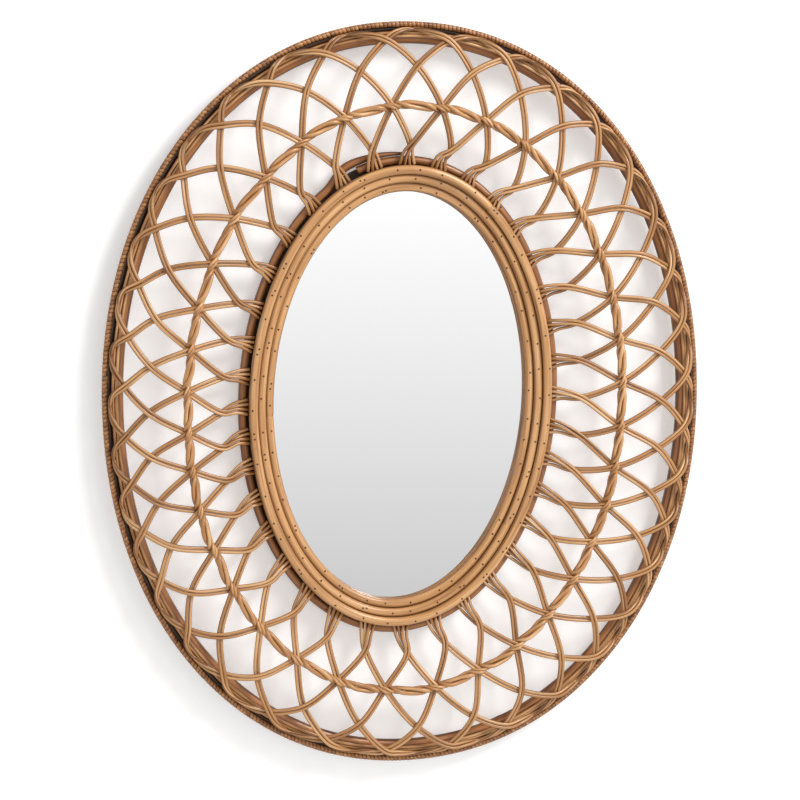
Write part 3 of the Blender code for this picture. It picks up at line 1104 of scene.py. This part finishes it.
@dataclass
class Arches(Assembly):
    """Thirty-six arches, each a pair of round canes that weaves over and under its neighbours."""

    span: int = 5
    cane_radius: float = 2.2 * MM
    cane_tip: float = 0.4 * MM
    cane_spacing: float = 4.5 * MM
    fanned_spacing: float = 6.2 * MM
    fan_share: float = 0.07
    crossing_step: float = 2.28 * MM
    apex_in: float = 10.6 * MM
    apex_depth: float = 30.5 * MM
    shoulder_in: float = 14.2 * MM
    shoulder_depth: float = 39.5 * MM
    shoulder_from_middle: float = 0.25
    tip_out: float = 34.6 * MM
    tip_beside: float = 6.5 * MM
    parting_out: float = 50 * MM
    parting_beside: float = 3.8 * MM
    parting_depth: float = 26 * MM
    grain_step: float = 3.7
    easing: int = 12
    sides: int = 10
    stations: tuple[int, ...] = (119,)

    def build(self) -> None:
        """Lay thirty-six copies of the straight pair along their arches."""
        pair = self.straight_pair()
        for number in range(SIZES.arch_count):
            arch = Bench.copy(pair, f"arch_canes_{number + 1:02d}")
            Bench.mark_grain(arch, self.grain_step * number)
            self.route(number).lay(arch)
            self.place(arch, Finish.CANE, f"cane_arch_{number + 1:02d}")
        bpy.data.objects.remove(pair)

    def straight_pair(self) -> bpy.types.Object:
        """Make two canes side by side that part a little towards their cut ends.

        Returns:
            The pair.
        """
        length = self.route(0).length()
        canes = []
        for side in (-1, 1):
            cane = Bench.rod("cane", length, self.cane_radius, self.sides, self.stations, self.cane_tip)

            def part(place: Vector, side: int = side) -> Vector:
                """Move a place of the cane away from the other cane."""
                share = min(place.x, length - place.x) / length / self.fan_share
                fan = max(0.0, 1.0 - share) ** 1.5
                spacing = self.cane_spacing + (self.fanned_spacing - self.cane_spacing) * fan
                return Vector((place.x, place.y + side * spacing / 2, place.z))

            Bench.shape(cane, part)
            canes.append(cane)
        return Bench.join("straight_pair", canes)

    def stops(self) -> list[Stop]:
        """List the stops of half an arch.

        Returns:
            The stops, from its cut ends to its shoulder.
        """
        foot = (self.span - 1) / 2
        stops = [
            Stop(foot, SIZES.opening.grown(self.tip_out), 0.0, SIZES.seat_depth, 0, beside=self.tip_beside),
            Stop(foot, SIZES.opening.grown(self.parting_out), 0.0, self.parting_depth, -1,
                 beside=self.parting_beside),
        ]
        crossings = ((0.0, WEAVE.foot_depth, 0.0),
                     (WEAVE.braid_share, WEAVE.braid_depth, WEAVE.braid_slip_deg),
                     (WEAVE.middle_share, WEAVE.middle_depth, 0.0),
                     (1.0, WEAVE.near_rim_depth, 0.0))
        for number, (share, depth, slip_deg) in enumerate(crossings):
            over_or_under = 1 if number % 2 else -1
            stops.append(Stop(foot - number / 2, WEAVE.ring(share), 0.0, depth, over_or_under, slip_deg))
        stops.append(Stop(self.shoulder_from_middle, SIZES.outline, -self.shoulder_in, self.shoulder_depth,
                          0, turn_deg=45.0))
        return stops

    def route(self, number: int) -> Route:
        """Find the route of one arch.

        Args:
            number: The arch, counted from the top towards the left.

        Returns:
            The route from its first cut ends over its apex to its last.
        """
        side = self.stops()
        apex = Stop(0.0, SIZES.outline, -self.apex_in, self.apex_depth, 0, turn_deg=90.0)
        stops = [replace(stop, from_middle=-stop.from_middle, beside=-stop.beside) for stop in side]
        stops += [apex] + [replace(stop, step=-stop.step, turn_deg=180.0 - stop.turn_deg)
                           for stop in reversed(side)]
        points = []
        for stop in stops:
            crossing = number + self.span / 2 + stop.from_middle
            flat = stop.oval.point(WEAVE.angle(crossing, stop.slip_deg), stop.out, stop.beside)
            if stop.step and stop.depth >= WEAVE.foot_depth:
                flat += WEAVE.stray(crossing, stop.depth)
            points.append(Vector((*flat, stop.depth + stop.step * self.crossing_step)))
        return Route(points, [-math.radians(stop.turn_deg) for stop in stops]).eased(self.easing)


@dataclass(frozen=True)
class Weaver:
    """One of the braid's two weavers.

    Args:
        name: The piece's name.
        node: The solid that it stands for.
        radius: Radius of its strands.
        start: Angle of its winding at the braid's first crossing, in radians.
        grain_start: Distance added along its first strand for its grain.
    """

    name: str
    node: str
    radius: float
    start: float
    grain_start: float


@dataclass
class Braid(Assembly):
    """Two weavers that wind round each other once for each crossing and bind it."""

    weavers: tuple[Weaver, ...] = (Weaver("weaver_strands_a", "weaver_a", 2.1 * MM, math.pi, 140.0),
                                   Weaver("weaver_strands_b", "weaver_b", 3.0 * MM, 0.0, 145.0))
    bound_depth: float = 4.4 * MM
    strand_gap: float = 0.03
    swing: float = 2.2 * MM
    dwell: float = 0.6
    grain_step: float = 2.0
    steps_per_crossing: int = 16
    sides: int = 10
    stations: tuple[int, ...] = (95, 6)

    def build(self) -> None:
        """Make both weavers, each of two strands side by side."""
        for weaver in self.weavers:
            strands = []
            for side in (-1, 1):
                route = self.route(weaver, side)
                strand = Bench.rod("strand", route.length(), weaver.radius, self.sides, self.stations)
                Bench.mark_grain(strand, weaver.grain_start + self.grain_step * side)
                route.lay(strand)
                strands.append(strand)
            self.place(Bench.join(weaver.name, strands), Finish.BRAIDED, weaver.node)

    def route(self, weaver: Weaver, side: int) -> Route:
        """Find the winding route of one strand.

        Args:
            weaver: The weaver that it belongs to.
            side: -1 or 1, for the two strands of a weaver.

        Returns:
            The closed route.
        """
        outer, inner = WEAVE.ring(WEAVE.middle_share), WEAVE.ring(0.0)
        slope = (WEAVE.middle_depth - WEAVE.foot_depth) / (outer.half_width - inner.half_width)
        aside = side * weaver.radius * (1 + self.strand_gap)
        points = []
        for number in range(SIZES.arch_count * self.steps_per_crossing):
            along = number / self.steps_per_crossing
            turn = FULL_TURN * (along - 0.5)
            wind = turn - self.dwell * math.sin(turn) + weaver.start
            bound = self.bound_depth * (1 - math.sin(math.pi * along) ** 4)
            lift = weaver.radius * (1 + self.strand_gap) + bound
            out = self.swing * math.sin(wind) + aside * math.cos(wind)
            depth = WEAVE.braid_depth + lift * math.cos(wind) - aside * math.sin(wind) + slope * out
            points.append(Vector((*WEAVE.braid_place(along, out), depth)))
        return Route(points, closed=True)


@dataclass
class Rim(Hoops):
    """The bound hoop outside, and the pole inside it with two thin rods on its front."""

    rod_lean_deg: float = 48.0
    groove_gap: float = 0.6 * MM
    back_rod_radius: float = 5.2 * MM
    back_rod_lean_deg: float = 10.0
    binding_pitch: float = 5.4 * MM
    binding_rise: float = 0.55 * MM
    binding_inset: float = 0.3 * MM
    binding_sides: int = 14
    binding_corners: int = 8
    binding_drift: float = 0.45 * MM
    binding_seed: float = 3.1
    tight_near_joint: float = 20 * MM
    turn_shift: float = 0.9
    strip_stretch: float = 0.2

    def build(self) -> None:
        """Make the rim's hoops."""
        to_rod = SIZES.pole_radius + SIZES.gap + SIZES.rim_rod_radius
        to_back = SIZES.pole_radius + SIZES.gap + self.back_rod_radius
        rod_in = 2 * SIZES.hoop_radius + 2 * self.groove_gap + SIZES.cane_thickness + SIZES.rim_rod_radius
        lean = math.radians(self.rod_lean_deg)
        turn = 2 * math.asin((2 * SIZES.rim_rod_radius + SIZES.gap) / (2 * to_rod))
        pole = HoopSpec("rim_round_pole", "rim_pole", Finish.BROWN, SIZES.outline,
                        -(rod_in + to_rod * math.cos(lean)), SIZES.hoop_depth - to_rod * math.sin(lean),
                        SIZES.pole_radius, 0.31, 250.0)
        self.hoop(pole)
        # The back rod takes the painted-shade finish, brown rattan darkened as if it lay in shade.
        self.beside(pole, to_back, -math.radians(self.back_rod_lean_deg), replace(
            pole, name="rim_round_back_rod", node="rim_back_rod", finish=Finish.SHADED,
            radius=self.back_rod_radius, knuckle=0.4, joint_deg=130.0))
        for number, name in enumerate(("outer", "inner")):
            self.beside(pole, to_rod, lean + number * turn, replace(
                pole, name=f"rim_thin_rod_{name}", node=f"rim_rod_{name}", finish=Finish.CANE,
                radius=SIZES.rim_rod_radius, knuckle=0.47, joint_deg=215.0 + 70.0 * number))
        self.bound_hoop()

    def beside(self, pole: HoopSpec, away: float, lean: float, spec: HoopSpec) -> None:
        """Make a rod that lies against the pole.

        Args:
            pole: The pole.
            away: Distance from the pole's middle to the rod's.
            lean: Angle from outwards towards the front, in radians.
            spec: The rod, but for its place.
        """
        self.hoop(replace(spec, out=pole.out + away * math.cos(lean),
                          depth=pole.depth + away * math.sin(lean)))

    def bound_hoop(self) -> None:
        """Wind a narrow strip of cane round the outer hoop from end to end."""
        spec = HoopSpec("bound_hoop", "wrapped_hoop", Finish.WRAPPING, SIZES.outline,
                        -(SIZES.hoop_radius + self.binding_inset), SIZES.hoop_depth,
                        SIZES.hoop_radius - self.binding_inset)
        route = self.ring(spec)
        length = route.length()
        turns = round(length / self.binding_pitch)
        pitch = length / turns
        piece = self.strip(spec, pitch, turns)

        def loosen(place: Vector) -> Vector:
            """Let a turn of the strip drift along the hoop, but not near the joint."""
            share = min(1.0, min(place.x, length - place.x) / self.tight_near_joint)
            drift = noise.noise(Vector((self.winding(place, pitch) * self.turn_shift, self.binding_seed, 0)))
            return place + Vector((drift * self.binding_drift * max(0.0, share), 0, 0))

        Bench.shape(piece, loosen)
        self.mark_strip(piece, pitch)
        route.lay(piece)
        self.place(piece, spec.finish, spec.node)

    @staticmethod
    def winding(place: Vector, pitch: float) -> float:
        """Find how many turns of the strip lie before a place."""
        return place.x / pitch - math.atan2(place.z, place.y) / FULL_TURN

    def strip(self, spec: HoopSpec, pitch: float, turns: int) -> bpy.types.Object:
        """Screw the rounded section of the strip along the straight hoop.

        Args:
            spec: The hoop.
            pitch: Width of the strip.
            turns: How often it goes round.

        Returns:
            An open tube along +X.
        """
        Bench.pick()
        bpy.ops.mesh.primitive_circle_add(vertices=self.binding_corners, radius=1.0,
                                          rotation=(math.pi / 2, 0, 0))
        piece = Bench.named(spec.name)
        bpy.ops.object.transform_apply(rotation=True)
        with Bench.editing(piece):
            Bench.select(piece, "VERT", lambda vertex: vertex.co.z < -0.1)
            bpy.ops.mesh.delete(type="VERT")
        piece.scale = (pitch / 2, 1.0, self.binding_rise)
        piece.location = (-pitch / 2, 0.0, spec.radius - self.binding_rise)
        bpy.ops.object.transform_apply(location=True, scale=True)
        screw = piece.modifiers.new("wind", "SCREW")
        screw.axis = "X"
        screw.angle = FULL_TURN
        screw.screw_offset = pitch
        screw.steps = screw.render_steps = self.binding_sides
        screw.iterations = turns + 2
        bpy.ops.object.modifier_apply(modifier=screw.name)
        with Bench.editing(piece):
            bpy.ops.mesh.remove_doubles(threshold=0.02 * MM)
            for end, side in ((0.0, -1), (pitch * turns, 1)):
                bpy.ops.mesh.select_all(action="SELECT")
                bpy.ops.mesh.bisect(plane_co=(end, 0, 0), plane_no=(side, 0, 0), clear_outer=True)
        return piece

    def mark_strip(self, piece: bpy.types.Object, pitch: float) -> None:
        """Keep for each corner where it lies along and across the wound strip.

        Args:
            piece: The straight bound hoop.
            pitch: Width of the strip.
        """
        mesh = piece.data
        crown = max(vertex.co.yz.length for vertex in mesh.vertices)
        places, crests = [], []
        for polygon in mesh.polygons:
            shift = math.floor(self.winding(polygon.center, pitch)) * self.turn_shift
            for corner in polygon.loop_indices:
                place = mesh.vertices[mesh.loops[corner].vertex_index].co
                places += (place.x * self.strip_stretch + shift, place.y, place.z)
                # Corners down in the groove between turns get a low crest, so the finish paints shade there.
                crests.append(1.0 - (crown - place.yz.length) / self.binding_rise)
        Bench.keep_grain(piece, places, crests)


@dataclass
class GlassAndBoard(Assembly):
    """The silvered glass, the board behind it and the hanger strip."""

    corners: int = 160
    glass_under_rod: float = 8 * MM
    board_past_rod: float = 2 * MM
    board_back: float = 4 * MM
    board_thickness: float = 4 * MM
    polished_edge: float = 0.5 * MM
    crease_deg: float = 8.0

    def build(self) -> None:
        """Make the plates and dress the strip."""
        glass = self.plate("silvered_glass", self.glass_under_rod, SIZES.glass_back, SIZES.glass_thickness)
        self.place(glass, Finish.MIRROR, "mirror_glass", crease_deg=self.crease_deg)
        # The board's near-black finish is painted shade for the gap behind the rods.
        board = self.plate("plywood_board", SIZES.backing_out + self.board_past_rod, self.board_back,
                           self.board_thickness)
        self.place(board, Finish.BOARD, "back_board", crease_deg=self.crease_deg)
        strip = bpy.data.objects["hanger_strip"]
        for slot in strip.material_slots:
            slot.material = self.materials[Finish.STEEL]
        if not strip.material_slots:
            strip.data.materials.append(self.materials[Finish.STEEL])

    def plate(self, name: str, out: float, back: float, thickness: float) -> bpy.types.Object:
        """Make a flat plate of the opening's shape with eased edges.

        Args:
            name: The piece's name.
            out: How far it reaches past the opening.
            back: Depth of its back out from the wall.
            thickness: Its thickness.

        Returns:
            The plate.
        """
        Bench.pick()
        bpy.ops.mesh.primitive_circle_add(vertices=self.corners, radius=1.0, fill_type="NGON")
        piece = Bench.named(name)
        Bench.shape(piece, lambda place: Vector(
            (*SIZES.opening.point(math.atan2(place.y, place.x), out), back)))
        with Bench.editing(piece):
            bpy.ops.mesh.extrude_region_move(TRANSFORM_OT_translate={"value": (0, 0, thickness)})
            Bench.select(piece, "EDGE", lambda edge: abs(Bench.run(edge).z) < thickness / 2)
            bpy.ops.mesh.bevel(offset=self.polished_edge, segments=2, affect="EDGES")
        Bench.face_out(piece)
        return piece


@dataclass
class Studio:
    """The wall, the floor, the light and the camera."""

    target: tuple[float, float, float] = (-0.0059, 0.0, -0.3052)
    distance: float = 2.7
    from_left_deg: float = 13.0
    from_above_deg: float = 7.0
    roll_deg: float = 0.8
    lens: float = 91.5
    sky: tuple[tuple[float, float], ...] = (
        (-1.0, 0.30), (-0.32, 0.38), (-0.21, 0.56), (-0.02, 0.92), (0.12, 0.92), (0.5, 0.45), (1.0, 0.35))
    sky_strength: float = 1.12
    key_place: tuple[float, float, float] = (1.9, -2.1, 1.9)
    key_size: float = 1.3
    key_power: float = 85.0
    plane_size: float = 6.0
    wall_tone: float = 0.93
    wall_glow: float = 0.28
    wall_clearance: float = 0.6 * MM
    floor_colour: Colour = (0.86, 0.86, 0.85)
    floor_below: float = 1.75

    def build(self) -> None:
        """Set the studio up."""
        self.wall()
        self.plane("studio_floor", (0, 0, -self.floor_below), (0, 0, 0), self.floor_colour)
        self.world()
        self.light()
        self.camera()
        bpy.context.scene.view_settings.view_transform = "Standard"

    def plane(self, name: str, place: Sequence[float], turn: Sequence[float],
              colour: Colour) -> tuple[bpy.types.Object, Graph]:
        """Add a pale plane of the studio.

        Args:
            name: Its name.
            place: Its middle.
            turn: Its turn about each axis, in radians.
            colour: Its colour.

        Returns:
            The plane and its material's nodes.
        """
        Bench.pick()
        bpy.ops.mesh.primitive_plane_add(size=self.plane_size, location=place, rotation=turn)
        piece = Bench.named(name)
        graph = Graph(bpy.data.materials.new(name))
        graph.feed(graph.shader, Base_Color=(*colour, 1.0), Roughness=0.9, Specular_IOR_Level=0.0)
        piece.data.materials.append(graph.owner)
        return piece, graph

    def wall(self) -> None:
        """Add a wall that is seen only from the front and holds back no light."""
        wall, graph = self.plane("studio_wall", (0, self.wall_clearance, 0), (math.pi / 2, 0, 0),
                                 (self.wall_tone, self.wall_tone, self.wall_tone))
        graph.feed(graph.shader, Emission_Color=(1.0, 1.0, 1.0, 1.0), Emission_Strength=self.wall_glow)
        mix = graph.add("MixShader", Fac=graph.add("NewGeometry").outputs["Backfacing"])
        graph.give(mix.inputs[1], graph.shader.outputs[0])
        graph.give(mix.inputs[2], graph.add("BsdfTransparent").outputs[0])
        graph.feed(graph.tree.nodes["Material Output"], Surface=mix.outputs[0])
        wall.visible_diffuse = wall.visible_glossy = wall.visible_transmission = wall.visible_shadow = False

    def world(self) -> None:
        """Light the room most from the front and a little below, as the glass shows it."""
        world = bpy.context.scene.world = bpy.data.worlds.new("studio")
        graph = Graph(world, "Background")
        split = graph.add("SeparateXYZ", Vector=graph.add("TexCoord").outputs["Generated"])
        height = graph.between(split.outputs["Z"], 0.0, 1.0, start=-1.0, end=1.0)
        colour = graph.ramp(height, [((place + 1) / 2, (tone, tone, tone)) for place, tone in self.sky])
        graph.feed(graph.shader, Color=colour, Strength=self.sky_strength)

    def light(self) -> None:
        """Add a soft square light that faces the mirror."""
        bpy.ops.object.light_add(type="AREA", location=self.key_place)
        lamp = bpy.context.object
        lamp.name = "key"
        lamp.data.shape = "SQUARE"
        lamp.data.size = self.key_size
        lamp.data.energy = self.key_power
        towards = Vector(self.target) - Vector(self.key_place)
        lamp.rotation_euler = towards.to_track_quat("-Z", "Y").to_euler()

    def camera(self) -> None:
        """Stand the camera a little left of the mirror and above it."""
        yaw, pitch = math.radians(self.from_left_deg), math.radians(self.from_above_deg)
        back = Vector((-math.sin(yaw) * math.cos(pitch), -math.cos(yaw) * math.cos(pitch), math.sin(pitch)))
        bpy.ops.object.camera_add(location=Vector(self.target) + back * self.distance)
        camera = bpy.context.object
        camera.name = "photo_camera"
        camera.data.lens = self.lens
        camera.data.sensor_width = 36.0
        turned = (-back).to_track_quat("-Z", "Y") @ Quaternion((0, 0, 1), math.radians(self.roll_deg))
        camera.rotation_mode = "QUATERNION"
        camera.rotation_quaternion = turned
        bpy.context.scene.camera = camera


def main() -> None:
    """Dress the mirror piece by piece."""
    logging.basicConfig(level=logging.INFO, format="%(name)s %(message)s")
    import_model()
    Bench.pick()
    # Without a seed the vector noise differs from run to run.
    noise.seed_set(HAND_SEED)
    materials = {look.finish: look.material() for look in FINISHES}
    Studio().build()
    for assembly in (GlassAndBoard, FrameRods, Arches, Braid, Rim):
        assembly(materials).build()


if __name__ == "__main__":
    main()
